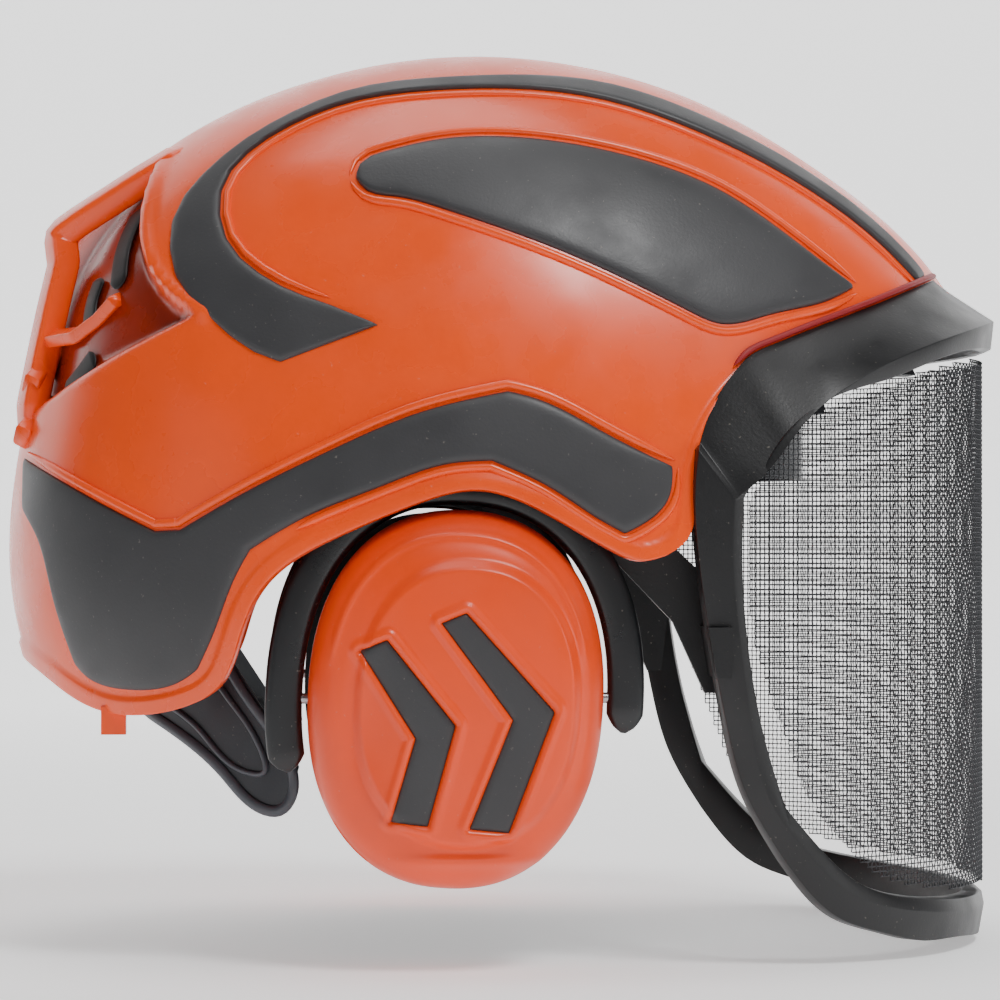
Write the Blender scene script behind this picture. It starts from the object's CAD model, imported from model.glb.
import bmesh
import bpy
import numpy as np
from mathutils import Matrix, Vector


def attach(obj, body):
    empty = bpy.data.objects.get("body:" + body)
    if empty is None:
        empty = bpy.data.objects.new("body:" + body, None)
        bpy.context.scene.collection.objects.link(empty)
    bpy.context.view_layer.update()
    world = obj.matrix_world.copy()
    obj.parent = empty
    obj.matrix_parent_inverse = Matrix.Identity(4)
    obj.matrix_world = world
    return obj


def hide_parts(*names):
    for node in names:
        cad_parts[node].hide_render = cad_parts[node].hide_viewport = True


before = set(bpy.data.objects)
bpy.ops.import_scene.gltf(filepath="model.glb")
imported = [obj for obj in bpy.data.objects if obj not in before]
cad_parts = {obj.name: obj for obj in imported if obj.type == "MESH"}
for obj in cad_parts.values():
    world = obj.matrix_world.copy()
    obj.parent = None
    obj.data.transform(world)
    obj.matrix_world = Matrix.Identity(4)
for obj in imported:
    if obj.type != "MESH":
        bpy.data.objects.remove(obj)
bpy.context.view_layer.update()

# %% [markdown]
# # A forestry helmet, piece by piece
# The CAD frame holds the working parts: shells, harness, visor hinge and ear-muff linkage. This lesson
# dresses it. Every new piece is a surface computed with numpy, in millimetres, and turned into metres on
# its way into the mesh. Working in millimetres keeps the numbers the same as on a drawing.

MM = 0.001
SIDES = {"right": -1.0, "left": 1.0}


def finish_piece(obj, material, body, nodes):
    """Give a piece its material, its body and the CAD nodes it stands for."""
    obj.data.materials.clear()
    obj.data.materials.append(material)
    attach(obj, body)
    if nodes:
        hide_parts(*nodes)
    print(obj.name, "has", len(obj.data.polygons), "faces")
    return obj


def mesh_object(name, points, faces, turn_out=False):
    """Mesh object from points in millimetres and faces; turn_out makes every face point outwards."""
    mesh = bpy.data.meshes.new(name)
    faces = faces.tolist() if isinstance(faces, np.ndarray) else faces
    mesh.from_pydata((np.asarray(points, float) * MM).tolist(), [], faces)
    mesh.validate()
    if turn_out:
        work = bmesh.new()
        work.from_mesh(mesh)
        bmesh.ops.recalc_face_normals(work, faces=work.faces)
        work.to_mesh(mesh)
        work.free()
    mesh.shade_smooth()
    obj = bpy.data.objects.new(name, mesh)
    bpy.context.scene.collection.objects.link(obj)
    return obj


def unit(vectors):
    """Vectors scaled to a length of one."""
    return vectors / (np.linalg.norm(vectors, axis=-1, keepdims=True) + 1e-12)


def grid_faces(rows, cols, close_rows=False, close_cols=False):
    """Quads of a grid of points stored row by row; a closed direction joins its end to its start."""
    r = np.arange(rows if close_rows else rows - 1)
    c = np.arange(cols if close_cols else cols - 1)
    i, j = np.meshgrid(r, c, indexing="ij")
    i2, j2 = (i + 1) % rows, (j + 1) % cols
    return np.stack([i * cols + j, i * cols + j2, i2 * cols + j2, i2 * cols + j], -1).reshape(-1, 4)


def tube_object(name, rings):
    """Closed object from rings of points, each ring joined to the next, with one face over each end."""
    rows, cols = rings.shape[:2]
    ends = [list(range(cols)), list(range((rows - 1) * cols, rows * cols))]
    faces = grid_faces(rows, cols, close_cols=True).tolist() + ends
    return mesh_object(name, rings.reshape(-1, 3), faces, turn_out=True)


def facing_out(points, faces):
    """The quads, turned round if the volume they enclose comes out negative."""
    a, b, c, d = (points[faces[:, k]] for k in range(4))
    volume = (a * np.cross(b, c)).sum() + (a * np.cross(c, d)).sum()
    return faces if volume > 0 else faces[:, ::-1]


def wall_object(name, outer, inner):
    """Closed wall from its outer and inner grids of points, joined round their border."""
    rows, cols = outer.shape[:2]
    top, shift = grid_faces(rows, cols), rows * cols
    index = np.arange(shift).reshape(rows, cols)
    ring = np.concatenate([index[0, :-1], index[:-1, -1], index[-1, :0:-1], index[:0:-1, 0]])
    after = np.roll(ring, -1)
    border = np.stack([after, ring, ring + shift, after + shift], -1)
    points = np.concatenate([outer.reshape(-1, 3), inner.reshape(-1, 3)])
    return mesh_object(name, points, facing_out(points, np.concatenate([top, top[:, ::-1] + shift, border])))


def round_edges(obj, width, angle, segments=2):
    """Bevel of a width in millimetres on every edge that turns by more than an angle in radians."""
    bevel = obj.modifiers.new("round", "BEVEL")
    bevel.width, bevel.segments = width * MM, segments
    bevel.limit_method, bevel.angle_limit = "ANGLE", angle
    return obj


# %% [markdown]
# ## Smooth curves from a few points
# Outlines are a few hand-picked points. A natural cubic spline carries a curve through them: between two
# points it is a cubic, and slope and bend agree where pieces meet. Chord length along the points is the
# parameter, so evenly spaced samples stay nearly even on the curve.

# %% Splines
def cubic(x, xs, ys):
    """Natural cubic spline through (xs, ys), read at the array x."""
    xs, ys = np.asarray(xs, float), np.asarray(ys, float)
    h, n = np.diff(xs), len(xs)
    system, right = np.eye(n), np.zeros(n)
    k = np.arange(1, n - 1)
    system[k, k - 1], system[k, k], system[k, k + 1] = h[:-1], 2 * (h[:-1] + h[1:]), h[1:]
    right[k] = 6 * (np.diff(ys[1:]) / h[1:] - np.diff(ys[:-1]) / h[:-1])
    bend = np.linalg.solve(system, right)
    k = np.clip(np.searchsorted(xs, x) - 1, 0, n - 2)
    t = x - xs[k]
    slope = (ys[k + 1] - ys[k]) / h[k] - h[k] * (2 * bend[k] + bend[k + 1]) / 6
    return ys[k] + t * slope + t ** 2 * bend[k] / 2 + t ** 3 * (bend[k + 1] - bend[k]) / (6 * h[k])


def run_along(points):
    """Length run along a polyline, from zero at its first point."""
    return np.concatenate([[0], np.cumsum(np.linalg.norm(np.diff(points, axis=0), axis=1))])


def evened(points, count):
    """Places on a polyline at even steps of its length."""
    run = run_along(points)
    even = np.linspace(0, run[-1], count)
    return np.stack([np.interp(even, run, column) for column in points.T], -1)


def through(points, count):
    """Evenly spaced samples of the smooth curve through a list of points."""
    p = np.asarray(points, float)
    far = run_along(p)
    fine = np.linspace(0, far[-1], 12 * len(p))
    if len(p) > 2:
        return evened(np.stack([cubic(fine, far, column) for column in p.T], -1), count)
    return evened(p[:1] + (p[1:] - p[:1]) * (fine / far[-1])[:, None], count)


def joined(stretches, count):
    """Several smooth stretches end to end, sharp where they meet, resampled evenly."""
    parts = [through(s, 40) for s in stretches]
    return evened(np.concatenate([parts[0]] + [p[1:] for p in parts[1:]]), count)


# %% [markdown]
# ## The shell's surface as a formula
# Seen from the side, the shell is measured in polar form about a pole in front of the ear. Every ray from
# the pole to the crown line carries the same cross-section, a superellipse: share of width to the power n
# plus share of reach to the power n is one. A turn from 0 (crown line) to 90 degrees (side pole) walks
# along it.

# %% Shell formula
HALF_WIDTH, POWER = 112.0, 2.25
POLE = np.array([-12.0, -50.0])
CROWN = np.array([(157, -8), (155, 24), (147, 52), (131, 76), (104, 98.5), (67, 119.8), (30, 131),
                  (-6, 133.8), (-55, 125), (-100, 101.5), (-124, 73), (-134.5, 38), (-140.5, 4),
                  (-141.5, -22), (-136.5, -48), (-124, -78)], float)


def polar(x, z):
    """Angle in degrees, from -90 to 270, and distance about the pole."""
    dx, dz = np.asarray(x, float) - POLE[0], np.asarray(z, float) - POLE[1]
    angle = np.degrees(np.arctan2(dz, dx))
    return np.where(angle < -90, angle + 360, angle), np.hypot(dx, dz)


CROWN_ANGLE, CROWN_REACH = polar(CROWN[:, 0], CROWN[:, 1])
print("crown line spans", np.ptp(CROWN, axis=0), "mm")


def shell_base(angle, turn, inset=0.0):
    """Right-hand point of the plain shell: reach times cos(turn)^(2/n), half width times sin(turn)^(2/n)."""
    reach = (cubic(angle, CROWN_ANGLE, CROWN_REACH) - inset) * np.cos(turn) ** (2 / POWER)
    width = (HALF_WIDTH - inset) * np.clip(np.sin(turn), 0, None) ** (2 / POWER)
    a = np.radians(angle)
    return np.stack([POLE[0] + reach * np.cos(a), -width, POLE[1] + reach * np.sin(a)], -1)


def net_of(points):
    """Side-view places (x, z) as net coordinates (angle, turn): cos(turn) is the reach share to the n/2."""
    p = np.asarray(points, float)
    angle, far = polar(p[..., 0], p[..., 1])
    share = np.clip(far / cubic(angle, CROWN_ANGLE, CROWN_REACH), 0, 1)
    return angle, np.arccos(share ** (POWER / 2))


def shell_normal(angle, turn):
    """Outward normal of the plain shell, from small steps both ways on the net."""
    e, t = 0.25, np.clip(turn, 0.01, 1.56)
    along = shell_base(angle + e, t) - shell_base(angle - e, t)
    across = shell_base(angle, t + e / 60) - shell_base(angle, t - e / 60)
    n = unit(np.cross(along, across))
    out = shell_base(angle, t) - np.array([POLE[0], 0, POLE[1]])
    return n * np.sign((n * out).sum(-1, keepdims=True))


def to_side(points, side):
    """Right-hand points, mirrored when the side is left."""
    return points * np.array([1, -SIDES[side], 1])


def both_halves(half):
    """Grid of a right half whose rows start on the middle line, joined to its mirror image."""
    return np.concatenate([half[:, :0:-1] * [1, -1, 1], half], 1)


def on_shell(points, lift, side):
    """Side-view places laid on the shell, lifted along the normal, on either side of the head."""
    angle, turn = net_of(points)
    lifted = shell_base(angle, turn) + shell_normal(angle, turn) * np.asarray(lift, float)[..., None]
    return to_side(lifted, side)


# %% [markdown]
# ## Outlines
# The rims, the inlays and the visor are drawn once, in side view. Each list runs from the rear to the front
# or from the front to the rear, and holds only the points that its shape needs.

# %% Outlines in side view
BRIM_BROW = [(144.6, 58.2), (132, 57), (104, 48), (80, 37.5), (68, 29), (60, 18), (55.1, 2), (51.5, -12.4),
             (45.8, -16.3)]
BRIM_EAR = [(45.8, -16.3), (38.8, -17.7), (31.8, -15.2), (12.4, -4.2), (-5.5, 1.9), (-24.7, -2.5),
            (-46.7, -11.9), (-64.5, -24.2), (-71.4, -38.3), (-78.3, -53.4), (-82, -56.2)]
BRIM_REAR = [(-136.9, -46), (-128.6, -50.8), (-119, -56.9), (-108.5, -60.6), (-96.8, -60.6), (-85.4, -57.7),
             (-82, -56.2)]
RIDGE = [(-94.6, 101.7), (-98.3, 89.8), (-99.6, 77.1), (-97.5, 67.8), (-93, 60.2), (-87.2, 55.1), (-81.5, 52)]
CREASE = [(-81.5, 52), (-99.9, 43.1), (-113.1, 36.4), (-123.2, 30.6), (-134, 24)]
CROWN_TOP = [[(-39, 90.8), (-37.5, 95), (-30, 98.8), (-17.8, 101.9), (5.1, 103.3), (28.1, 100.6),
              (48.3, 95.6), (65.7, 88.6), (83, 77.1), (104, 60.5)]]
CROWN_LOW = [[(-39, 90.8), (-36.5, 87.2), (-28.1, 85), (-15.5, 81.6), (6.8, 73.7), (29.2, 64.4),
              (54.5, 52.1)],
             [(54.5, 52.1), (63.1, 48.8), (77.9, 51.7), (96.4, 56.6), (104, 60.5)]]
BAND_OUTER = [[(-33.3, 47.8), (-60.4, 37.5)],
              [(-60.4, 37.5), (-68.8, 41), (-80, 50.3), (-88.7, 60.1), (-91.8, 71.1), (-90.6, 81.1),
               (-83.6, 91.7), (-72.1, 102.3), (-59.1, 110.6), (-40.2, 118.7), (-14, 122.2), (9.6, 123.5),
               (33.4, 122.1), (62.9, 112.5), (92.8, 97.3), (116.6, 79.6), (130, 65.8)]]
BAND_INNER = [[(-33.3, 47.8), (-46.5, 53.6)],
              [(-46.5, 53.6), (-57.7, 58), (-67.5, 63.9), (-74.6, 71.4), (-77.5, 80.5), (-76.6, 90),
               (-70.7, 98.5), (-59.1, 107), (-40.2, 115), (-17, 118.4), (3.4, 119.2), (33, 116.4),
               (61.5, 107), (91, 92.5), (114, 76), (127, 63)]]
SIDE_TOP = [[[(-135.4, 12), (-123.3, 5.2), (-108.2, -2.9), (-95.2, -9.4)], [(-95.2, -9.4), (-88.1, -9.1)]],
            [[(-88.1, -9.1), (-71.4, 0.6), (-46.6, 12.9), (-21.8, 23.4), (2.5, 29.3)]],
            [[(2.5, 29.3), (10, 27.4), (28, 18.6), (48.1, 8.4)]]]
SIDE_LOW = [[[(-135.5, -2.7), (-129.4, -12), (-124.6, -29.1), (-118.4, -47.5)],
             [(-118.4, -47.5), (-115.8, -50.3), (-103, -54), (-88.1, -51.3), (-83.3, -47.9)],
             [(-83.3, -47.9), (-78.3, -36.7), (-72.8, -22.3), (-68.6, -14.6)]],
            [[(-68.6, -14.6), (-54.9, -6.4), (-32.9, 2.7), (-13.7, 9.1), (-2.1, 9.9)]],
            [[(-2.1, 9.9), (13.9, 2.5), (27.7, -6.4), (34.6, -10.2)],
             [(34.6, -10.2), (41.7, -6.3), (46.8, -0.8), (48.1, 8.4)]]]
SIDE_COUNTS = (90, 110, 70)
print("side inlay runs", np.ptp(np.array(SIDE_TOP[0][0] + SIDE_TOP[2][0]), axis=0), "mm along and up")


def sections(groups, counts):
    """Groups of stretches sampled one after another, so that opposite edges keep step."""
    parts = [joined(g, c) for g, c in zip(groups, counts)]
    return np.concatenate([parts[0]] + [p[1:] for p in parts[1:]])


def gap_to(points, line):
    """Shortest distance from each point to a polyline, all in side view."""
    p, q = np.asarray(points, float)[..., None, :], np.asarray(line, float)
    a, d = q[:-1], np.diff(q, axis=0)
    t = np.clip(((p - a) * d).sum(-1) / np.maximum((d ** 2).sum(-1), 1e-9), 0, 1)
    return np.linalg.norm(p - a - t[..., None] * d, axis=-1).min(-1)


def inside(points, corners):
    """True where a point lies in a closed polygon, by the even-odd rule."""
    p, a = np.asarray(points, float)[..., None, :], np.asarray(corners, float)
    b = np.roll(a, -1, axis=0)
    spans = (a[:, 1] > p[..., 1]) != (b[:, 1] > p[..., 1])
    rise = np.where(b[:, 1] == a[:, 1], 1, b[:, 1] - a[:, 1])
    left = p[..., 0] < a[:, 0] + (p[..., 1] - a[:, 1]) * (b[:, 0] - a[:, 0]) / rise
    return (spans & left).sum(-1) % 2 == 1


def smoothstep(t):
    """Zero below 0, one above 1, and 3t^2 - 2t^3 between."""
    t = np.clip(t, 0, 1)
    return t * t * (3 - 2 * t)


def coons(top, bottom, front, rear):
    """Patch inside four curves: lines across, plus lines down, less the corners counted twice."""
    u = np.linspace(0, 1, len(top))[:, None, None]
    v = np.linspace(0, 1, len(front))[None, :, None]
    across = (1 - v) * top[:, None] + v * bottom[:, None]
    down = (1 - u) * front[None] + u * rear[None]
    corners = ((1 - u) * ((1 - v) * top[0] + v * bottom[0]) + u * ((1 - v) * top[-1] + v * bottom[-1]))
    return across + down - corners


# %% [markdown]
# ## The outer shell
# A moulded shell is one sheet of even wall with a thicker rolled rim. Its half is a four-sided patch on the
# net: crown line above, ear arch below, brow edge in front and neck rim behind. The patch is mirrored, and
# one more grid three millimetres further in closes the wall. Behind the ridge the face is sunk for the
# vents, and the sink fades out towards the crown's middle line.

# %% Outer shell
SHELL_WALL, ALONG, DOWN = 3.0, 232, 96
VENT_SINK, RIDGE_RISE, RIM_RISE = 5.5, 1.5, 0.8


def net_curve(points, count):
    """A side-view outline sampled evenly and read as net coordinates."""
    return np.stack(net_of(through(points, count)), -1)


def shell_sink(place, width):
    """How far the face is pressed in (plus) or raised (minus) at side-view places."""
    ridge_line, crease_line = through(RIDGE, 40), through(CREASE, 30)
    back = RIDGE + CREASE[1:] + [(-170, 24), (-170, 130), (-94.6, 130)]
    off_middle = smoothstep((width - 13) / 10)
    edge = gap_to(place, np.concatenate([ridge_line, crease_line]))
    pressed = VENT_SINK * smoothstep(edge / 4.5) * off_middle * inside(place, back)
    ridge = RIDGE_RISE * smoothstep(1 - gap_to(place, ridge_line) / 4.0) * off_middle
    rim_line = np.concatenate([through(BRIM_BROW, 60), through(BRIM_EAR, 80), through(BRIM_REAR, 60)[::-1]])
    return pressed - ridge - RIM_RISE * smoothstep((5.2 - gap_to(place, rim_line)) / 1.4)


def outer_shell():
    """The orange shell, brim to brim over the crown."""
    front, rear = net_curve(BRIM_BROW, DOWN), net_curve(BRIM_REAR, DOWN)
    front[0, 1], rear[0, 1] = 0, 0
    crown = np.stack([np.linspace(front[0, 0], rear[0, 0], ALONG), np.zeros(ALONG)], -1)
    net = coons(crown, net_curve(BRIM_EAR, ALONG), front, rear)
    angle, turn = net[..., 0], np.clip(net[..., 1], 0, 1.5)
    face, normal = shell_base(angle, turn), shell_normal(angle, turn)
    normal[:, 0, 1] = 0
    normal = unit(normal)
    sunk = shell_sink(face[..., [0, 2]], -face[..., 1])[..., None]
    outer, inner = face - normal * sunk, face - normal * (SHELL_WALL + np.clip(sunk, 0, None))
    obj = wall_object("helmet_shell", both_halves(outer), both_halves(inner))
    half = np.clip(sunk[..., 0] / VENT_SINK, 0, 1) * 0.85
    depth = np.tile(np.concatenate([half[:, :0:-1], half], 1).ravel(), 2)
    obj.data.attributes.new("sunk", "FLOAT", "POINT").data.foreach_set("value", depth.astype(np.float32))
    return round_edges(obj, 0.7, 1.0)


# %% [markdown]
# ## Finishes
# Helmets are moulded plastic: even colour with a trace of flow, a fine spark-eroded grain on the matt parts
# and dust in the low places. One function builds such a plastic from noise read in object coordinates, so
# the grain has a real size. Others give webbing and steel. Vinyl and foam are the plastic with a coarser
# grain.

# %% Materials
DUST = (196, 186, 172)


def linear(r, g, b):
    """Screen colour, 0 to 255, as the linear values that shaders take."""
    c = np.array([r, g, b], float) / 255
    low, high = c / 12.92, ((c + 0.055) / 1.055) ** 2.4
    return (*np.where(c <= 0.04045, low, high).tolist(), 1.0)


def surface(name, rough, metal=0.0, coat=0.0, sheen=0.0, specular=0.5):
    """A new material with its shader's uniform numbers set; gives the node tree and the shader."""
    mat = bpy.data.materials.new(name)
    mat.use_nodes = True
    tree = mat.node_tree
    shader = tree.nodes["Principled BSDF"]
    values = {"Roughness": rough, "Metallic": metal, "Coat Weight": coat, "Coat Roughness": 0.12,
              "Sheen Weight": sheen, "Specular IOR Level": specular}
    for socket, value in values.items():
        shader.inputs[socket].default_value = value
    return mat, tree, shader


def node(tree, kind, inputs=None, **settings):
    """A node of a kind with its settings, and links or values for its inputs."""
    made = tree.nodes.new(kind)
    for key, value in settings.items():
        setattr(made, key, value)
    for key, value in (inputs or {}).items():
        if isinstance(value, bpy.types.NodeSocket):
            tree.links.new(value, made.inputs[key])
        else:
            made.inputs[key].default_value = value
    return made


def noise(tree, scale, detail=3.0, stretch=(1, 1, 1)):
    """Noise in object coordinates; scale is in waves per metre."""
    place = node(tree, "ShaderNodeTexCoord").outputs["Object"]
    place = node(tree, "ShaderNodeMapping", {"Vector": place, "Scale": stretch}).outputs["Vector"]
    values = {"Vector": place, "Scale": scale, "Detail": detail}
    return node(tree, "ShaderNodeTexNoise", values).outputs["Fac"]


def mix(tree, factor, dark, light):
    """A colour between two, by a factor."""
    made = node(tree, "ShaderNodeMix", data_type="RGBA")
    tree.links.new(factor, made.inputs[0])
    for slot_index, value in ((6, dark), (7, light)):
        if isinstance(value, bpy.types.NodeSocket):
            tree.links.new(value, made.inputs[slot_index])
        else:
            made.inputs[slot_index].default_value = value
    return made.outputs[2]


def spread(tree, factor, low, high, out_low=0.0, out_high=1.0):
    """The factor's range low to high stretched to another range."""
    values = {"Value": factor, "From Min": low, "From Max": high, "To Min": out_low, "To Max": out_high}
    return node(tree, "ShaderNodeMapRange", values).outputs["Result"]


def bump(tree, shader, height, strength, depth):
    """Bump of the shader's normal by a height; depth is in metres."""
    made = node(tree, "ShaderNodeBump", {"Height": height, "Strength": strength, "Distance": depth})
    tree.links.new(made.outputs["Normal"], shader.inputs["Normal"])


def plastic(name, colour, rough, grain, grain_size, coat=0.0, specular=0.5, drift=0.12, deep=None):
    """Moulded plastic: slow drift of colour, dusty specks, moulded grain of a size in millimetres, and a
    deeper colour where the piece's own attribute "sunk" says that grime gathers."""
    mat, tree, shader = surface(name, rough, coat=coat, specular=specular)
    base = np.array(linear(*colour))
    dark, light = base * (1 - drift), base * (1 + drift)
    dark[3] = light[3] = 1
    slow = spread(tree, noise(tree, 22, 4), 0.35, 0.65)
    specks = spread(tree, noise(tree, 900, 2), 0.70, 0.78, 0, 0.18)
    tone = mix(tree, slow, tuple(dark), tuple(light))
    dusty = mix(tree, specks, tone, linear(*DUST))
    if deep:
        sunk = node(tree, "ShaderNodeAttribute", attribute_name="sunk").outputs["Fac"]
        dusty = mix(tree, sunk, dusty, linear(*deep))
    tree.links.new(dusty, shader.inputs["Base Color"])
    fine = noise(tree, 1000 / grain_size, 2)
    rub = spread(tree, noise(tree, 60, 5), 0.3, 0.7, rough - 0.07, rough + 0.09)
    tree.links.new(rub, shader.inputs["Roughness"])
    bump(tree, shader, fine, grain, 0.00012)
    return mat


def woven(name, colour, pitch):
    """Webbing or textile: two crossed waves of a pitch in millimetres, with fluff over them."""
    mat, tree, shader = surface(name, 0.85, sheen=0.3, specular=0.25)
    place = node(tree, "ShaderNodeTexCoord").outputs["Object"]
    waves = []
    for turn in ((0.6, 0.2, 0.8), (0.0, 1.2, -0.5)):
        turned = node(tree, "ShaderNodeMapping", {"Vector": place, "Rotation": turn}).outputs["Vector"]
        values = {"Vector": turned, "Scale": 1000 / pitch / 6.283, "Distortion": 1.2, "Detail": 1.0}
        waves.append(node(tree, "ShaderNodeTexWave", values).outputs["Fac"])
    weave = node(tree, "ShaderNodeMath", {0: waves[0], 1: waves[1]}, operation="MULTIPLY").outputs[0]
    base = np.array(linear(*colour))
    dark, light = base * 0.55, base * 1.35
    dark[3] = light[3] = 1
    tone = mix(tree, weave, tuple(dark), tuple(light))
    faded = mix(tree, spread(tree, noise(tree, 40, 4), 0.4, 0.7, 0, 0.35), tone, tuple(light))
    tree.links.new(faded, shader.inputs["Base Color"])
    bump(tree, shader, weave, 0.6, 0.0004)
    return mat


ORANGE = plastic("orange_shell", (255, 80, 0), 0.27, 0.05, 1.6, coat=0.12, drift=0.05, deep=(120, 18, 0))
CUP_ORANGE = plastic("orange_cup", (250, 72, 0), 0.36, 0.10, 1.6, coat=0.1, drift=0.06)
GREY = plastic("grey_inlay", (58, 58, 60), 0.46, 0.35, 0.9, drift=0.08)
BLACK = plastic("black_frame", (18, 18, 20), 0.38, 0.30, 0.9, drift=0.10)
HARNESS = plastic("harness_grey", (34, 37, 43), 0.42, 0.25, 1.0, drift=0.10)
MUFF_BLACK = plastic("muff_black", (14, 16, 20), 0.30, 0.18, 1.1, coat=0.2, drift=0.12)
VINYL = plastic("cushion_vinyl", (16, 19, 20), 0.36, 0.7, 2.2, specular=0.6, drift=0.15)
SEAL = plastic("seal_red", (150, 16, 24), 0.5, 0.3, 1.0)
INNER = plastic("inner_black", (12, 12, 14), 0.5, 0.3, 1.0)
WEBBING = woven("webbing_grey", (52, 54, 60), 1.4)
TEXTILE = woven("pad_textile", (36, 37, 41), 0.9)
FOAM = plastic("cup_foam", (46, 46, 48), 0.95, 1.0, 2.5, specular=0.1, drift=0.25)


def steel(name, colour, rough):
    """Bright or blackened steel with fine draw marks."""
    mat, tree, shader = surface(name, rough, metal=1.0)
    base = np.array(linear(*colour))
    marks = noise(tree, 700, 3, (1, 1, 6))
    tree.links.new(mix(tree, marks, tuple(base * 0.7), tuple(base)), shader.inputs["Base Color"])
    tree.links.new(spread(tree, marks, 0.3, 0.7, rough - 0.08, rough + 0.1), shader.inputs["Roughness"])
    return mat


PIN_STEEL = steel("pin_steel", (190, 190, 192), 0.3)
WIRE = steel("wire_steel", (96, 97, 100), 0.42)
print("finishes:", [material.name for material in bpy.data.materials])

# %% Shell in place
finish_piece(outer_shell(), ORANGE, "helmet", ["outer_shell"])

# %% [markdown]
# ## Dark baffle
# Behind the rear slots lies a dark baffle that keeps rain out. It is the shell's own formula read further
# in, so it keeps the same distance to the shell everywhere.

# %% Dark baffle under the rear slots
def vent_baffle():
    """Thin curved sheet between two insets of the shell, over the rear of the crown."""
    angle, turn = np.meshgrid(np.linspace(122, 156, 30), np.radians(np.linspace(0, 26, 16)), indexing="ij")
    outer, inner = (both_halves(shell_base(angle, turn, inset)) for inset in (11.0, 12.4))
    return wall_object("vent_baffle", outer, inner)


finish_piece(vent_baffle(), INNER, "helmet", ["vent_cover"])

# %% [markdown]
# ## Inlays
# The grey inlays are thin plates clipped into the shell. Each is ruled between its two edges on the shell's
# surface, domed a little and rolled over at its rim, and closed by a second grid under the shell's face.

# %% Inlay plates
PLATE_LIFT, PLATE_SINK = 1.5, 0.9


def plate(name, upper, lower, side, rows):
    """Plate between two side-view edges; its height is the lift times a rolled-over profile both ways."""
    w = (1 - np.cos(np.linspace(0, np.pi, rows))) / 2
    run = np.linspace(0, 1, len(upper))
    place = upper[:, None] * (1 - w[None, :, None]) + lower[:, None] * w[None, :, None]
    across = (1 - np.abs(2 * w - 1) ** 8) ** 0.5
    along = (1 - np.abs(2 * run - 1) ** 60) ** 0.5
    height = PLATE_LIFT * across[None] * along[:, None]
    return wall_object(name, on_shell(place, height, side), on_shell(place, height * 0 - PLATE_SINK, side))


for side in SIDES:
    edges = {"crown_inlay": (joined(CROWN_TOP, 160), joined(CROWN_LOW, 160)),
             "band_inlay": (joined(BAND_OUTER, 260), joined(BAND_INNER, 260)),
             "side_inlay": (sections(SIDE_TOP, SIDE_COUNTS), sections(SIDE_LOW, SIDE_COUNTS))}
    for name, (upper, lower) in edges.items():
        piece = plate(f"{name}_plate_{side}", upper, lower, side, 26 if name == "side_inlay" else 16)
        finish_piece(piece, GREY, "helmet", [f"{name}_{side}"])


# %% [markdown]
# ## Beads
# A round orange bead of the shell runs along each inlay, so the joint reads as a groove between two soft
# edges. A bead is a small closed profile carried along a line on the shell and drawn in at both ends. The
# same sweep makes the vent rails, the cradle's rims and the seal at the brow.

# %% Beads along the inlays
def offset(line, amount):
    """A side-view line moved square to its run; plus is to the left of its direction."""
    run = unit(np.gradient(np.asarray(line, float), axis=0))
    return line + amount * np.stack([-run[:, 1], run[:, 0]], -1)


def sweep(name, path, up, profile, scale):
    """Closed profile (across, up) carried along a 3-D path with a scale; up is squared to the run."""
    path, up = np.asarray(path, float), np.broadcast_to(np.asarray(up, float), np.shape(path))
    run = unit(np.gradient(path, axis=0))
    across = unit(np.cross(run, up))
    rise = np.cross(across, run)
    section = across[:, None] * profile[None, :, :1] + rise[:, None] * profile[None, :, 1:]
    return tube_object(name, path[:, None] + np.asarray(scale, float)[:, None, None] * section)


def round_profile(half_wide, half_high, count=12, power=2.0):
    """Superellipse section: half width and half height to a power."""
    t = np.linspace(0, 2 * np.pi, count, endpoint=False)
    c, s = np.cos(t), np.sin(t)
    return np.stack([half_wide * np.sign(c) * np.abs(c) ** (2 / power),
                     half_high * np.sign(s) * np.abs(s) ** (2 / power)], -1)


def taper(count, ends=0.06):
    """Size along a path that closes in round at both ends."""
    t = np.linspace(0, 1, count)
    return np.clip(np.minimum(t, 1 - t) / ends, 1e-3, 1) ** 0.5


def shell_bead(name, line, side, wide=1.3, high=1.1):
    """Bead of the shell along a side-view line."""
    up = to_side(shell_normal(*net_of(line)), side)
    path = on_shell(line, np.full(len(line), 0.2), side)
    bead = sweep(f"bead_{name}_{side}", path, up, round_profile(wide, high), taper(len(line)))
    return finish_piece(bead, ORANGE, "helmet", ())


for side in SIDES:
    side_top, side_low = sections(SIDE_TOP, SIDE_COUNTS), sections(SIDE_LOW, SIDE_COUNTS)
    shell_bead("side_top", offset(side_top, 2.0), side)
    shell_bead("side_low", offset(side_low[110:], -1.7), side, 1.1, 0.9)
    shell_bead("crown_top", offset(joined(CROWN_TOP, 120), 1.9), side)
    shell_bead("crown_low", offset(joined(CROWN_LOW, 120), -1.9), side)
    shell_bead("band", offset(joined(BAND_INNER, 160)[8:], -1.9), side, 1.0, 0.9)


# %% [markdown]
# ## Rear vent cage
# Behind the ridge the shell opens into a cage. Two rails run from the crown over a knee and down to the
# neck band, one on each side of the middle. Each is a bar with a flat top that carries a short ledge and,
# lower down, two stiffening blocks. Dark slots lie between rail and ridge.

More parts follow.
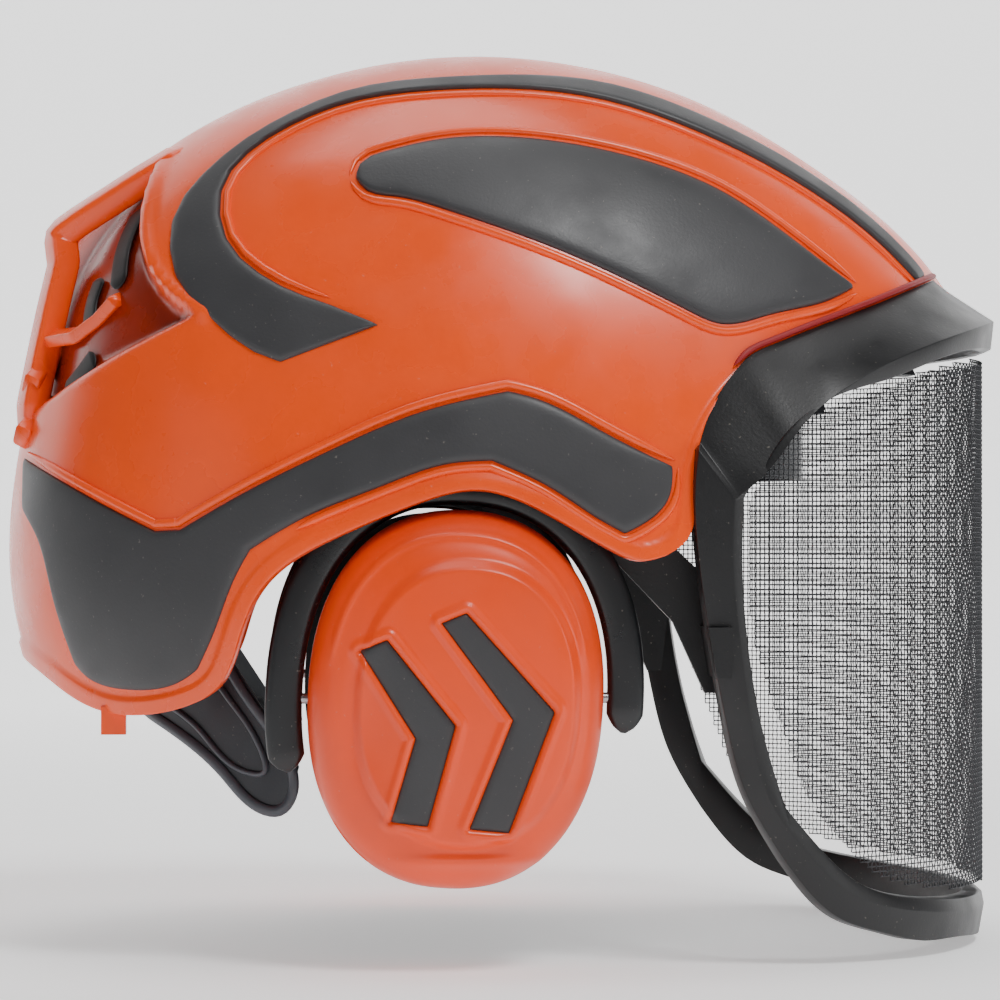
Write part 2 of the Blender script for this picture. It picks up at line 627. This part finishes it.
# %% Vent rails
RAIL = np.array([(-84, -30, 107), (-104, -28, 95), (-122, -26, 83.5), (-127.5, -25, 79.5), (-126.5, -25, 71),
                 (-129.5, -26, 58), (-132, -27, 46), (-134.8, -28, 32), (-137, -29, 17)], float)
RAIL_SHIFT, RAIL_UP = np.array([2.0, 0, -1.5]), np.array([-0.75, -0.25, 0.61])
RAIL_SCALE = np.concatenate([np.linspace(0.25, 1, 10), np.ones(70), np.linspace(1, 0.5, 10)])
LEDGE = np.array([(-128, -30, 47), (-119, -44, 47.5), (-112, -52, 52), (-107, -58, 57)], float)
BLOCKS = np.array([[(-133.5, -33, 33), (-126, -22, 43)], [(-136, -34, 18), (-129, -23, 28)]], float)
SLOTS = [[(-104, 88), (-109, 74), (-110, 62)], [(-116, 66), (-119, 56), (-119, 50)],
         [(-117, 42), (-122, 36), (-127, 31)]]
BAR_POINTS, SLOT_POINTS, SLOT_DEPTH = 90, 40, 4.4


def bar(name, path, up, half_wide, half_high, power=6.0, scale=np.ones(BAR_POINTS)):
    """Straight-edged bar along a path given point by point, with sharp bends kept."""
    line = joined([path[k:k + 2] for k in range(len(path) - 1)], BAR_POINTS)
    piece = sweep(name, line, up, round_profile(half_wide, half_high, 24, power), scale)
    return finish_piece(piece, ORANGE, "helmet", ())


for side in SIDES:
    rail_path, rail_up = to_side(RAIL, side) + RAIL_SHIFT, to_side(RAIL_UP, side)
    bar(f"vent_rail_{side}", rail_path, rail_up, 6.0, 4.0, 5.0, RAIL_SCALE)
    bar(f"vent_ledge_{side}", to_side(LEDGE, side), (-0.5, 0, 0.87), 3.0, 2.0)
    for index, block in enumerate(BLOCKS):
        bar(f"vent_block_{index}_{side}", to_side(block, side), (-1, 0, 0.3), 4.0, 2.6)
    for index, slot_line in enumerate(SLOTS):
        line = through(slot_line, SLOT_POINTS)
        path = on_shell(line, np.full(SLOT_POINTS, -SLOT_DEPTH), side)
        slot = sweep(f"vent_slot_{index}_{side}", path, to_side(shell_normal(*net_of(line)), side),
                     round_profile(3.4, 0.7, 16, 3.0), taper(SLOT_POINTS, 0.1))
        finish_piece(slot, INNER, "helmet", ())

# %% [markdown]
# ## Ear cups
# An ear cup is a deep moulded dome. Its outline is a superellipse that leans three degrees. From the middle
# outwards the face carries a raised shield, a step down, a shallow ring, and a round shoulder that turns
# into the side wall. Two arrows are pressed into the shield and hold grey plates. A polar grid serves all
# of that: rings for the share of the outline, spokes for the turn about the middle.

# %% Ear cups
CUP_CENTRE = np.array([-11.7, -56.0])
CUP_HALF = np.array([41.0, 52.5])
CUP_LEAN, CUP_POWER = np.radians(3.0), 2.25
CUP_FACE, CUP_BACK = 119.0, 88.0
ARROWS = {"rear": [(-26.9, 13.9), (-19.4, 16.9), (-0.8, -6.4), (-8.3, -33.9), (-18.6, -32.8), (-11.9, -10)],
          "front": [(-4.7, 21.4), (2.2, 24.2), (26.4, -2.8), (13.9, -35.8), (2.8, -34.7), (14.7, -5)]}
RINGS, SPOKES = 110, 320
SHIELD_STEP, HOLLOW_SINK, LIP_RISE, ARC_RISE = 2.6, 3.0, 1.6, 1.0
ARROW_SINK, BORDER_RISE = 1.5, 0.9


def cup_outline(turn, share=1.0):
    """Side-view place on the cup's outline, shrunk to a share, leaning back."""
    c, s = np.cos(turn), np.sin(turn)
    x = CUP_HALF[0] * share * np.sign(c) * np.abs(c) ** (2 / CUP_POWER)
    z = CUP_HALF[1] * share * np.sign(s) * np.abs(s) ** (2 / CUP_POWER)
    lean, upright = np.sin(CUP_LEAN), np.cos(CUP_LEAN)
    return np.stack([x * upright + z * lean, z * upright - x * lean], -1)


def cup_share(place):
    """Share of the outline that a place about the cup's middle has reached."""
    x = place[..., 0] * np.cos(CUP_LEAN) - place[..., 1] * np.sin(CUP_LEAN)
    z = place[..., 0] * np.sin(CUP_LEAN) + place[..., 1] * np.cos(CUP_LEAN)
    shares = (np.abs(x) / CUP_HALF[0]) ** CUP_POWER + (np.abs(z) / CUP_HALF[1]) ** CUP_POWER
    return shares ** (1 / CUP_POWER)


def arrow_depth(place):
    """Plus inside an arrow, by distance to its edge; minus outside."""
    best = np.full(place.shape[:-1], -99.0)
    for corners in ARROWS.values():
        edge = gap_to(place, corners + corners[:1])
        best = np.maximum(best, np.where(inside(place, corners), edge, -edge))
    return best


def cup_face_height(place, arrows=True):
    """How far out the cup's face stands: dome, shield step, hollow behind, lip below and arrow recesses."""
    share = cup_share(place)
    shoulder = np.clip((share - 0.66) / 0.34, 0, 1)
    height = CUP_FACE - 2.2 * share ** 2 - 15 * (1 - np.sqrt(np.clip(1 - shoulder ** 2.2, 0, 1)))
    height -= SHIELD_STEP * smoothstep((cup_share(place + [-2.5, 1.0]) - 0.70) / 0.07)
    hollow = np.exp(-(((place[..., 0] + 26) / 8) ** 2 + ((place[..., 1] + 12) / 26) ** 2))
    lip = np.exp(-(((place[..., 0] - 5) / 22) ** 4 + ((place[..., 1] + 44) / 2.0) ** 2))
    arc = np.exp(-(((share - 0.87) / 0.025) ** 2)) * smoothstep((place[..., 1] - 8) / 12)
    height += LIP_RISE * lip + ARC_RISE * arc - HOLLOW_SINK * hollow
    if arrows:
        depth = arrow_depth(place)
        border = smoothstep(1 - np.abs(depth + 1.6) / 1.9)
        height += BORDER_RISE * border - ARROW_SINK * smoothstep((depth + 0.4) / 0.9)
    return height


def on_cup(place, out, side):
    """Points at side-view places about the cup's middle, at distances out from the head's middle plane."""
    x, out = place[..., 0] + CUP_CENTRE[0], np.broadcast_to(out, place.shape[:-1])
    return np.stack([x, out * SIDES[side], place[..., 1] + CUP_CENTRE[1]], -1)


def cup_shell(side):
    """The cup's closed shell: face and shoulder, side wall, and the wall's inner face."""
    turn = np.linspace(0, 2 * np.pi, SPOKES, endpoint=False)
    shoulder = 1 - 0.1 * np.cos(np.linspace(0, np.pi / 2, 12))[1:]
    share = np.concatenate([np.linspace(0.012, 0.90, RINGS), shoulder])
    share[-1] = 0.9995
    face = np.stack([cup_outline(turn, s) for s in share])
    height = cup_face_height(face)
    wall = [(1.0, out) for out in np.linspace(height[-1].mean() - 0.5, CUP_BACK + 1.2, 8)]
    wall += [(0.995, CUP_BACK + 0.4), (0.93, CUP_BACK + 0.4)]
    wall += [(0.93, 92), (0.93, 100), (0.88, 108), (0.6, 112), (0.3, 113), (0.02, 113)]
    rings = [on_cup(cup_outline(turn) * s, out, side) for s, out in wall]
    return tube_object(f"cup_dome_{side}", np.concatenate([on_cup(face, height, side), rings]))


def arrow_plate(side, name, corners):
    """Grey arrow in its recess, ruled between its two bent edges, with a rim rolled down on both."""
    c = np.array(corners, float)
    left, right = joined([[c[0], c[5]], [c[5], c[4]]], 60), joined([[c[1], c[2]], [c[2], c[3]]], 60)
    w = np.array([0, 0, 0.02, 0.06, 0.2, 0.5, 0.8, 0.94, 0.98, 1, 1])
    drop = np.array([-1.6, -1.1, -0.55, -0.3, -0.2, -0.2, -0.2, -0.3, -0.55, -1.1, -1.6])
    place = left[:, None] * (1 - w[None, :, None]) + right[:, None] * w[None, :, None]
    low = cup_face_height(place, arrows=False)
    top, under = on_cup(place, low + drop, side), on_cup(place, low - 2.0, side)
    return wall_object(f"cup_arrow_{name}_{side}", top, under)


for side in SIDES:
    finish_piece(cup_shell(side), CUP_ORANGE, f"muff_cup_{side}", [f"cup_shell_{side}"])
    for name, corners in ARROWS.items():
        finish_piece(arrow_plate(side, name, corners), GREY, f"muff_cup_{side}", [f"cup_chevrons_{side}"])

# %% [markdown]
# ## Yoke and swing arm
# A yoke of glass-filled nylon holds each cup at two points. Its two prongs and its bow are one bar of even
# section, thickened at the round prong ends, with a stem on top that slides in the swing arm's sleeve.

# %% Yokes
FORK_MID, FORK_GAP, FORK_HALF_THICK = 93.0, 1.5, 2.3


def yoke(side):
    """The bow beside the cup: an even gap outside the cup's outline, from prong end to prong end."""
    turn = np.linspace(np.radians(-6), np.radians(201), 141)
    rim = cup_outline(turn)
    run = unit(np.gradient(rim, axis=0))
    out = np.stack([run[:, 1], -run[:, 0]], -1)
    half_wide = 3.3 + 1.9 * smoothstep(np.abs(np.cos(turn)) * 1.3)
    middle = rim + out * (FORK_GAP + half_wide)[:, None]
    t = np.linspace(0, 1, len(turn))
    ends = np.clip(np.minimum(t, 1 - t) / 0.022, 0.02, 1) ** 0.5
    profile = round_profile(1.0, 1.0, 24, 4.0)
    place = middle[:, None] + (half_wide * ends)[:, None, None] * out[:, None] * profile[None, :, :1]
    thick = FORK_MID + (FORK_HALF_THICK * ends ** 0.4)[:, None] * profile[None, :, 1]
    return tube_object(f"yoke_{side}", on_cup(place, thick, side))


def rounded_block(name, low, high, radius, side):
    """Box between two right-hand corners with its edges rolled over, on either side."""
    spans = np.stack(np.meshgrid(*zip(low, high), indexing="ij"), -1).reshape(-1, 3)
    faces = [[0, 1, 3, 2], [4, 6, 7, 5], [0, 4, 5, 1], [2, 3, 7, 6], [0, 2, 6, 4], [1, 5, 7, 3]]
    return round_edges(mesh_object(name, to_side(spans, side), faces, turn_out=True), radius, 0.52, 4)


for side in SIDES:
    finish_piece(yoke(side), MUFF_BLACK, f"muff_fork_{side}", [f"muff_fork_{side}"])
    stem = rounded_block(f"yoke_stem_{side}", (-18.7, -95, 0.5), (-4.7, -91, 26), 1.2, side)
    finish_piece(stem, MUFF_BLACK, f"muff_fork_{side}", [f"muff_fork_{side}"])

# %% [markdown]
# ## Rim of the nape cradle
# The cradle's wings have a thick rolled rim, so that they bend without a sharp edge, and a groove beside
# it. The rim follows the wing's outline on the cradle's elliptic plan.

# %% Cradle rims
WING_RIM = [(-104, -59.5), (-90, -67.5), (-76, -79), (-66, -88), (-60.5, -88.5), (-57, -84), (-57, -77),
            (-66, -62), (-78, -42), (-82, -28)]
WING_SLOT = [(-96, -58), (-84, -66), (-70, -78), (-65, -78), (-66, -71), (-76, -56), (-86, -46), (-95, -46)]


CRADLE_X, CRADLE_HALF = -3.0, (107.6, 87.6)
RIM_GREY = plastic("cradle_rim_grey", (66, 69, 76), 0.35, 0.2, 1.0, drift=0.1)


def on_cradle(points, lift, side):
    """Side-view places on the cradle's plan, an ellipse about the head's middle line."""
    p = np.asarray(points, float)
    share = (p[:, 0] - CRADLE_X) / (CRADLE_HALF[0] + lift)
    out = (CRADLE_HALF[1] + lift) * np.sqrt(1 - share ** 2)
    return np.column_stack([p[:, 0], out * SIDES[side], p[:, 1]])


for side in SIDES:
    out = (-0.55, 0.83 * SIDES[side], 0)
    for name, line, wide in (("cradle_rim", WING_RIM, 1.7), ("cradle_slot", WING_SLOT, 0.9)):
        path = on_cradle(through(line, 90), 0.2, side)
        rim = sweep(f"{name}_{side}", path, out, round_profile(wide, 1.0), taper(90))
        finish_piece(rim, RIM_GREY, "nape_cradle", ())

# %% [markdown]
# ## Visor frame
# The visor's frame is one moulded loop. Three lines run round it: the outer edge, a crease between side
# facet and front face, and the edge of the opening. In plan the loop lies on a superellipse in front of the
# face, and along the brow its outer edge leans back to the shell. A closed section joins the three lines
# and a back face.

# %% Visor frame
VISOR_CENTRE, VISOR_REACH, VISOR_WIDE, VISOR_POWER = 40.0, 115.0, 109.0, 2.2
OUTER_LINE = [[(155, -130), (138.9, -127.2), (127.7, -126.7), (114.3, -123.4), (98.7, -118.1),
               (80.9, -100.7)],
              [(80.9, -100.7), (68.9, -81), (63.2, -61.6), (58.7, -39.5), (55.4, -17.4), (54.5, 4.7),
               (55.4, 13)]]
CREASE_LINE = [[(155, -121), (124.2, -117.8), (101.7, -111.3), (83.8, -95.2)],
               [(83.8, -95.2), (75.7, -83.9), (70, -61.7), (66.6, -39.5), (64.7, -17.4), (65.2, -0.8)],
               [(65.2, -0.8), (75.2, 7.5), (83.9, 18.7), (95.8, 29.4), (124.4, 43.6), (145.9, 51),
                (155, 54)]]
OPENING_LINE = [[(155, -116.5), (136.9, -115.3), (122.5, -113.4), (104.2, -107.8), (92.7, -98.3),
                 (80.9, -85.4)],
                [(80.9, -85.4), (73.7, -61.7), (69.5, -39.5), (68.1, -17.4), (68.6, 0)],
                [(68.6, 0), (73.8, 8.9), (81, 18.7), (89.8, 25.7), (114.4, 33.8), (127.9, 38.9),
                 (141.3, 42.7), (155, 44)]]
BROW_LINE = [(55.4, -103, 13), (59.9, -98.6, 25.8), (66.9, -94.2, 35.7), (71.4, -91.6, 40.1),
             (77.4, -88.6, 43), (89.7, -82.2, 47.9), (102.3, -74, 52.7), (115.8, -61.7, 58.1),
             (131.8, -36.5, 64.7), (137.6, 0, 66.5)]
STRETCH_COUNTS = (46, 56, 70)
CHIN_TAPER, TAPER_TOP, TAPER_RUN = 3.5, -40.0, 90.0


def on_visor(points, inset=0.0):
    """Right-hand place of a side-view point on the visor's plan, drawn in by inset and towards the chin."""
    p = np.asarray(points, float)
    inset = inset + CHIN_TAPER * np.clip((TAPER_TOP - p[:, 1]) / TAPER_RUN, 0, 1)
    c = np.clip((p[:, 0] - VISOR_CENTRE) / VISOR_REACH, 0, 1)
    y = -(VISOR_WIDE - inset) * (1 - c ** VISOR_POWER) ** (1 / VISOR_POWER)
    return np.column_stack([VISOR_CENTRE + (VISOR_REACH - inset) * c, y, p[:, 1]])


def visor_frame():
    """The frame's closed section carried round its loop."""
    count = np.array(STRETCH_COUNTS)
    crease, opening = (sections([[s] for s in line], count) for line in (CREASE_LINE, OPENING_LINE))
    outer = sections([[s] for s in OUTER_LINE], count[:2])
    brow = through(BROW_LINE, count[2])[1:]
    brow_back = brow * [1, 0.97, 1] + [0, 0, -5.5]
    rows = [np.concatenate([on_visor(outer, 6.5), brow_back]),
            np.concatenate([on_visor(outer, 1.2), brow]),
            on_visor(crease, 0.0),
            on_visor(opening + (crease - opening) * 0.12, 0.9),
            on_visor(opening, 3.2),
            on_visor(opening, 6.8)]
    right = np.stack(rows, 1)
    right[0, :, 1] = right[-1, :, 1] = 0
    left = right[::-1][1:-1] * [1, -1, 1]
    loop = np.concatenate([right, left])
    points = loop.reshape(-1, 3)
    faces = facing_out(points, grid_faces(len(loop), len(rows), close_rows=True, close_cols=True))
    return round_edges(mesh_object("visor_loop", points, faces), 0.6, 0.35)


finish_piece(visor_frame(), BLACK, "visor", ["visor_frame", "visor_rim"])

# %% [markdown]
# ## Seal at the brow
# A soft bead on the visor's top edge keeps rain and chips from running down behind the mesh. It follows the
# brow line, raised by a millimetre, from one side to the other.

# %% Seal between visor and shell
SEAL_SHIFT = (-0.6, 0, 1.0)
seal_right = through(BROW_LINE[2:], 80) + SEAL_SHIFT
seal_path = np.concatenate([seal_right, seal_right[::-1][1:] * [1, -1, 1]])
seal = sweep("brow_seal_bead", seal_path, (0, 0, 1), round_profile(1.1, 0.9), taper(len(seal_path), 0.02))
finish_piece(seal, SEAL, "visor", ["brow_seal"])

# %% [markdown]
# ## Wire mesh
# The mesh is plain-woven steel wire. Every wire is a thin three-sided tube that rises and falls half a wire
# at each crossing. The weave is laid out flat, along the visor's plan and up its height, and then rolled on
# to the plan. Runs that lie outside the opening are left out, and each cut end is capped.

# %% Wire mesh
PITCH, WIRE_RADIUS, MESH_INSET, MESH_MARGIN = 1.45, 0.21, 3.9, 2.2


def visor_run():
    """Table of length along the plan against position, from the right end to the left end."""
    q = np.linspace(-1, 1, 2001)
    s = np.sin(q * np.pi / 2)
    y = s * (VISOR_WIDE - MESH_INSET)
    x = VISOR_CENTRE + (VISOR_REACH - MESH_INSET) * (1 - np.abs(s) ** VISOR_POWER) ** (1 / VISOR_POWER)
    length = np.concatenate([[0], np.cumsum(np.hypot(np.diff(x), np.diff(y)))])
    return length - length[-1] / 2, x, y


def rolled(s, z, lift):
    """Flat place (s, z) and height off the sheet, rolled on to the plan."""
    length, x, y = visor_run()
    px, py = np.interp(s, length, x), np.interp(s, length, y)
    tx, ty = np.interp(s, length, np.gradient(x, length)), np.interp(s, length, np.gradient(y, length))
    return np.stack([px + lift * ty, py - lift * tx, z], -1)


def opening_corners():
    """The visor's opening with a margin, as a closed outline on the flat weave."""
    length, _, plan_y = visor_run()
    edge = on_visor(offset(sections([[s] for s in OPENING_LINE], STRETCH_COUNTS), -MESH_MARGIN), MESH_INSET)
    right = np.column_stack([np.interp(edge[:, 1], plan_y, length), edge[:, 2]])
    return np.concatenate([right, right[::-1] * [-1, 1]])


def wires(name, upright):
    """All wires of one direction as one piece: rings of three points, joined inside the opening."""
    s, z = np.arange(-150, 150, PITCH), np.arange(-120, 48, PITCH)
    i, j = np.meshgrid(np.arange(len(s)), np.arange(len(z)), indexing="ij")
    wave = np.where((i + j) % 2 == 0, 1.0, -1.0) * WIRE_RADIUS * (1 if upright else -1)
    place = np.stack([s[i], z[j]], -1)
    if not upright:
        place, wave = place.transpose(1, 0, 2), wave.T
    angle = np.radians([90, 210, 330])
    aside, lift = np.cos(angle) * WIRE_RADIUS, np.sin(angle) * WIRE_RADIUS
    ring_s = place[..., 0, None] + aside * upright
    ring_z = place[..., 1, None] + aside * (not upright)
    points = rolled(ring_s, ring_z, wave[..., None] + lift).reshape(-1, 3)
    keep = inside(place, opening_corners())
    run = keep[:, :-1] & keep[:, 1:]
    first = np.argwhere(run) @ [keep.shape[1], 1] * 3
    k = np.arange(3)
    quads = first[:, None, None] + np.stack([k, (k + 1) % 3, 3 + (k + 1) % 3, 3 + k], -1)
    padded = np.pad(run, ((0, 0), (1, 1)))
    starts = np.argwhere(padded[:, 1:] & ~padded[:, :-1]) @ [keep.shape[1], 1] * 3
    stops = np.argwhere(padded[:, :-1] & ~padded[:, 1:]) @ [keep.shape[1], 1] * 3
    caps = np.concatenate([starts[:, None] + [2, 1, 0], stops[:, None] + [0, 1, 2]])
    used, index = np.unique(np.concatenate([quads.ravel(), caps.ravel()]), return_inverse=True)
    faces = index[:quads.size].reshape(-1, 4).tolist() + index[quads.size:].reshape(-1, 3).tolist()
    return mesh_object(name, points[used], faces)


for name, upright in (("mesh_wires_upright", True), ("mesh_wires_level", False)):
    finish_piece(wires(name, upright), WIRE, "visor", ["visor_mesh"])

# %% [markdown]
# ## Soft parts
# Cushions, brow band and neck pad are foam in a thin skin. Each starts as a plain closed form a little
# smaller than its place. Cloth with inner pressure swells it; then one subdivision smooths the skin.

# %% Swelling by cloth
PRESSURE, FRAMES = 4.0, 20


def swell(obj, voxel, cap):
    """Remesh, blow up by cloth simulation, cap each point's move, and keep the result."""
    remesh = obj.modifiers.new("even", "REMESH")
    remesh.mode, remesh.voxel_size = "VOXEL", voxel * MM
    bake_modifiers(obj)
    before = places(obj)
    cloth = obj.modifiers.new("swell", "CLOTH")
    cloth.settings.use_pressure = True
    cloth.settings.uniform_pressure_force = PRESSURE
    cloth.settings.effector_weights.gravity = 0
    cloth.point_cache.frame_start, cloth.point_cache.frame_end = 1, FRAMES
    scene = bpy.context.scene
    for frame_number in range(1, FRAMES + 1):
        scene.frame_set(frame_number)
    bake_modifiers(obj)
    scene.frame_set(1)
    move = places(obj) - before
    size = np.linalg.norm(move, axis=1, keepdims=True)
    after = before + move * np.minimum(1, cap * MM / np.maximum(size, 1e-9))
    obj.data.vertices.foreach_set("co", after.ravel())
    obj.data.update()
    return obj


def places(obj):
    """The mesh's points as an array, in metres."""
    flat = np.empty(3 * len(obj.data.vertices), np.float32)
    obj.data.vertices.foreach_get("co", flat)
    return flat.reshape(-1, 3).astype(float)


def bake_modifiers(obj):
    """Replace the mesh by what its modifiers give."""
    graph = bpy.context.evaluated_depsgraph_get()
    made = bpy.data.meshes.new_from_object(obj.evaluated_get(graph))
    obj.modifiers.clear()
    obj.data = made
    made.shade_smooth()


def padded_piece(obj, material, body, node_name):
    """A swollen piece, smoothed by one level of subdivision, finished and declared as padded."""
    level = obj.modifiers.new("smooth", "SUBSURF")
    level.levels = level.render_levels = 1
    finish_piece(obj, material, body, [node_name])


CUSHION_MID = 82.2


def cushion(side):
    """Ring cushion round the ear: a superellipse ring with an oval section."""
    turn = np.linspace(0, 2 * np.pi, 96, endpoint=False)
    middle = cup_outline(turn, 0.5) + np.stack([10.5 * np.cos(turn), 15.5 * np.sin(turn)], -1)
    out = np.stack([np.cos(turn), np.sin(turn)], -1)
    section = round_profile(8.2, 3.6, 16, 3.0)
    place = middle[:, None] + out[:, None] * section[None, :, :1]
    points = on_cup(place, CUSHION_MID + section[:, 1], side).reshape(-1, 3)
    faces = facing_out(points, grid_faces(96, 16, close_rows=True, close_cols=True))
    return swell(mesh_object(f"ear_cushion_{side}", points, faces), voxel=3.0, cap=0.9)


def cup_foam(side):
    """Foam disc in the bottom of the cup, clear of its wall."""
    turn = np.linspace(0, 2 * np.pi, 72, endpoint=False)
    section = ((0.05, 95), (0.6, 95), (0.76, 96), (0.8, 98),
               (0.8, 103), (0.76, 105), (0.55, 107), (0.05, 107))
    rings = np.stack([on_cup(cup_outline(turn, share), out, side) for share, out in section])
    return tube_object(f"cup_foam_disc_{side}", rings)


for side in SIDES:
    finish_piece(cup_foam(side), FOAM, f"muff_cup_{side}", [f"cup_foam_{side}"])
    padded_piece(cushion(side), VINYL, f"muff_cup_{side}", f"cup_cushion_{side}")


def curved_pad(name, half_x, half_y, thick, outline):
    """Pad on the inside of an upright ellipse: outline gives (turn in degrees, low z, high z)."""
    turn, low, high = np.array(outline, float).T
    t = np.linspace(turn[0], turn[-1], 90)
    w = np.linspace(0, 1, 12)
    z = np.interp(t, turn, low)[:, None] * (1 - w) + np.interp(t, turn, high)[:, None] * w
    a = np.radians(t)[:, None]
    along = np.abs(2 * (t - t[0]) / (t[-1] - t[0]) - 1)[:, None]
    body = (1 - np.abs(2 * w - 1) ** 4) ** 0.5 * (1 - along ** 12) ** 0.5
    outer, inner = (np.stack([CRADLE_X + (half_x - depth) * np.cos(a), (half_y - depth) * np.sin(a), z], -1)
                    for depth in (np.zeros_like(body), thick * (0.35 + 0.65 * body)))
    return swell(wall_object(name, outer, inner), voxel=3.0, cap=0.8)


brow_pad = curved_pad("brow_pad", 98.6, 78.6, 4.2, [(-76, 8, 28), (76, 8, 28)])
padded_piece(brow_pad, TEXTILE, "helmet", "sweatband")
NECK_OUTLINE = [(124, -78, -66), (148, -62, -38), (160, -55, -30),
                (200, -55, -30), (212, -62, -38), (236, -78, -66)]
neck_pad = curved_pad("neck_pad", 104.8, 84.8, 3.6, NECK_OUTLINE)
padded_piece(neck_pad, TEXTILE, "nape_cradle", "nape_pad")


def crown_pad():
    """Oval pad under the inner shell, with a soft edge: two sheets at two insets of the shell's formula."""
    turn = np.linspace(0, 2 * np.pi, 72, endpoint=False)
    share = np.linspace(0.03, 1, 12)[:, None]
    angle = np.linspace(20, 170, 400)
    sheets = []
    for inset, shrink in ((20.2, 1.0), (26.0, 0.97)):
        x, y = (-8 + 60 * share * np.cos(turn)) * shrink, 42 * share * np.sin(turn) * shrink
        line = shell_base(angle, np.zeros(400) + 1e-4, inset)
        crown = np.interp(x, line[::-1, 0], line[::-1, 2])
        wide = np.clip(np.abs(y) / (HALF_WIDTH - inset), 0, 0.99)
        sheets.append(np.stack([x, y, POLE[1] + (crown - POLE[1]) * (1 - wide ** POWER) ** (1 / POWER)], -1))
    pad = tube_object("crown_cushion", np.concatenate([sheets[0], sheets[1][::-1]]))
    return swell(pad, voxel=4.0, cap=0.6)


padded_piece(crown_pad(), TEXTILE, "helmet", "crown_pad")

# %% [markdown]
# ## Frame nodes that keep their shape
# Pins, brackets, arms, harness and cradle are hard parts whose CAD shape is the real shape. They only take
# a finish.

# %% Finishes for the CAD nodes
FINISHES = {HARNESS: ["headband", "headband_clips", "nape_frame", "nape_knob"],
            INNER: ["inner_shell", "shell_spacers", "cup_back", "muff_bracket"],
            WEBBING: ["long_strap", "cross_strap"],
            MUFF_BLACK: ["muff_swing_arm"], BLACK: ["visor_arm", "visor_bearing"],
            ORANGE: ["rim_hook"], PIN_STEEL: ["muff_hinge_pin", "muff_fork_pins", "visor_pin"]}
for material, names in FINISHES.items():
    for name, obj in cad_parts.items():
        if name in names or name.rsplit("_", 1)[0] in names:
            obj.data.materials.clear()
            obj.data.materials.append(material)
            print(name, "takes", material.name)

# %% [markdown]
# ## Floor, light and camera
# A pale floor that rises behind the helmet, broad soft lamps, and a long lens at the height of the cup's
# top.

# %% Stage
FLOOR_Z, FLOOR_NEAR, FLOOR_FAR, BEND_RADIUS, STAGE_REACH = -131.5, -3000, 1500, 900, 5000


def backdrop():
    """Floor that turns up into a wall behind, in one sheet: level run, quarter circle, upright run."""
    bend = np.linspace(0.1, np.pi / 2, 12)
    level = np.linspace(FLOOR_NEAR, FLOOR_FAR, 10)
    y = np.concatenate([level, FLOOR_FAR + BEND_RADIUS * np.sin(bend), [FLOOR_FAR + BEND_RADIUS]])
    z = np.concatenate([level * 0, BEND_RADIUS - BEND_RADIUS * np.cos(bend), [STAGE_REACH]]) + FLOOR_Z
    x = np.linspace(-STAGE_REACH, STAGE_REACH, 12)[None]
    points = np.stack(np.broadcast_arrays(x, y[:, None], z[:, None]), -1)
    obj = mesh_object("studio_floor", points.reshape(-1, 3), grid_faces(*points.shape[:2]))
    mat, tree, shader = surface("studio_paper", 0.9, specular=0.1)
    tone = mix(tree, noise(tree, 4, 3), linear(250, 250, 250), linear(255, 255, 255))
    tree.links.new(tone, shader.inputs["Base Color"])
    shader.inputs["Emission Color"].default_value = (1, 1, 1, 1)
    depth = node(tree, "ShaderNodeSeparateXYZ", {0: node(tree, "ShaderNodeTexCoord").outputs["Object"]})
    glow = spread(tree, depth.outputs["Y"], 0.2, 2.0, 0.45, 1.25)
    tree.links.new(glow, shader.inputs["Emission Strength"])
    obj.data.materials.append(mat)


def lamp(name, place, size, power):
    """Square softbox aimed at the helmet's middle; places in millimetres."""
    light = bpy.data.lights.new(name, "AREA")
    light.energy, light.size = power, size * MM
    obj = bpy.data.objects.new(name, light)
    obj.location = Vector(place) * MM
    obj.rotation_euler = (-obj.location).to_track_quat("-Z", "Y").to_euler()
    bpy.context.scene.collection.objects.link(obj)


backdrop()
lamp("key", (500, -900, 1300), 480, 15)
lamp("top", (-100, 100, 1500), 700, 6)
lamp("fill", (-1500, -1200, 300), 900, 1.2)
lamp("front", (1500, -600, 300), 600, 3)
world = bpy.data.worlds.new("studio")
world.use_nodes = True
background = world.node_tree.nodes["Background"].inputs
background["Color"].default_value, background["Strength"].default_value = (1, 1, 1, 1), 0.12
bpy.context.scene.world = world

camera = bpy.data.cameras.new("camera")
camera.lens, camera.sensor_width = 136.44, 36
camera_object = bpy.data.objects.new("camera", camera)
camera_object.location = (-0.05762, -1.150, -0.00904)
camera_object.rotation_euler = np.radians([90.45, 0, -3.17]).tolist()
bpy.context.scene.collection.objects.link(camera_object)
bpy.context.scene.camera = camera_object
print("lens", camera.lens, "mm at", tuple(camera_object.location))

# %% [markdown]
# ## Size
# The dressed helmet keeps the CAD frame's size. Both boxes are written down, so that they can be compared.

# %% Size of the dressed helmet
bpy.context.view_layer.update()
